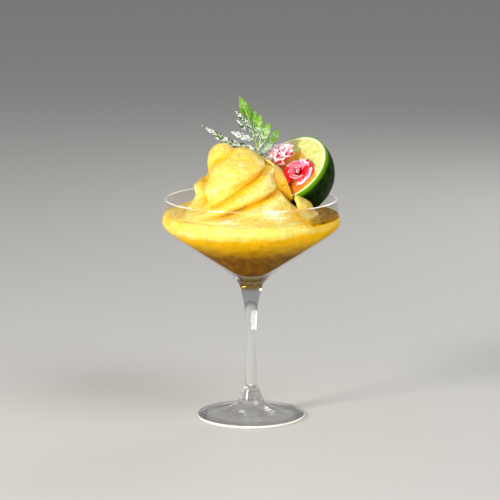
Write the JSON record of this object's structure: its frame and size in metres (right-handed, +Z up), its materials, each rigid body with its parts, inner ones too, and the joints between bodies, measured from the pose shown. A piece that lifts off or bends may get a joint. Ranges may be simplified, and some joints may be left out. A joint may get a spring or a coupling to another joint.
{
  "type": "frozen mango mocktail in a coupe glass",
  "caption": "Frozen mango mocktail in a stemmed coupe glass: the drink with a piped swirl on it, garnished with half a lime, blossoms and a fern sprig.",
  "frame": {"origin": "centre of the foot's underside, where the glass stands on the table", "axes": "+Z up along the stem, -Y toward the guest, +X to the guest's right, where the lime is"},
  "size_m": [0.1168, 0.1168, 0.2112],
  "materials": {
    "glass": "clear, polished",
    "drink": "wet frozen mango puree",
    "swirl": "wet, smooth frozen mango puree",
    "lime": "waxy rind",
    "rose": "velvety petals",
    "blossom": "velvety petals",
    "fern": "waxy, wet leaf"
  },
  "bodies": {
    "root": {"glass": "glass", "drink": "drink", "swirl": "swirl", "lime": "lime", "rose": "rose", "blossom": "blossom", "fern": "fern"}
  },
  "joints": []
}
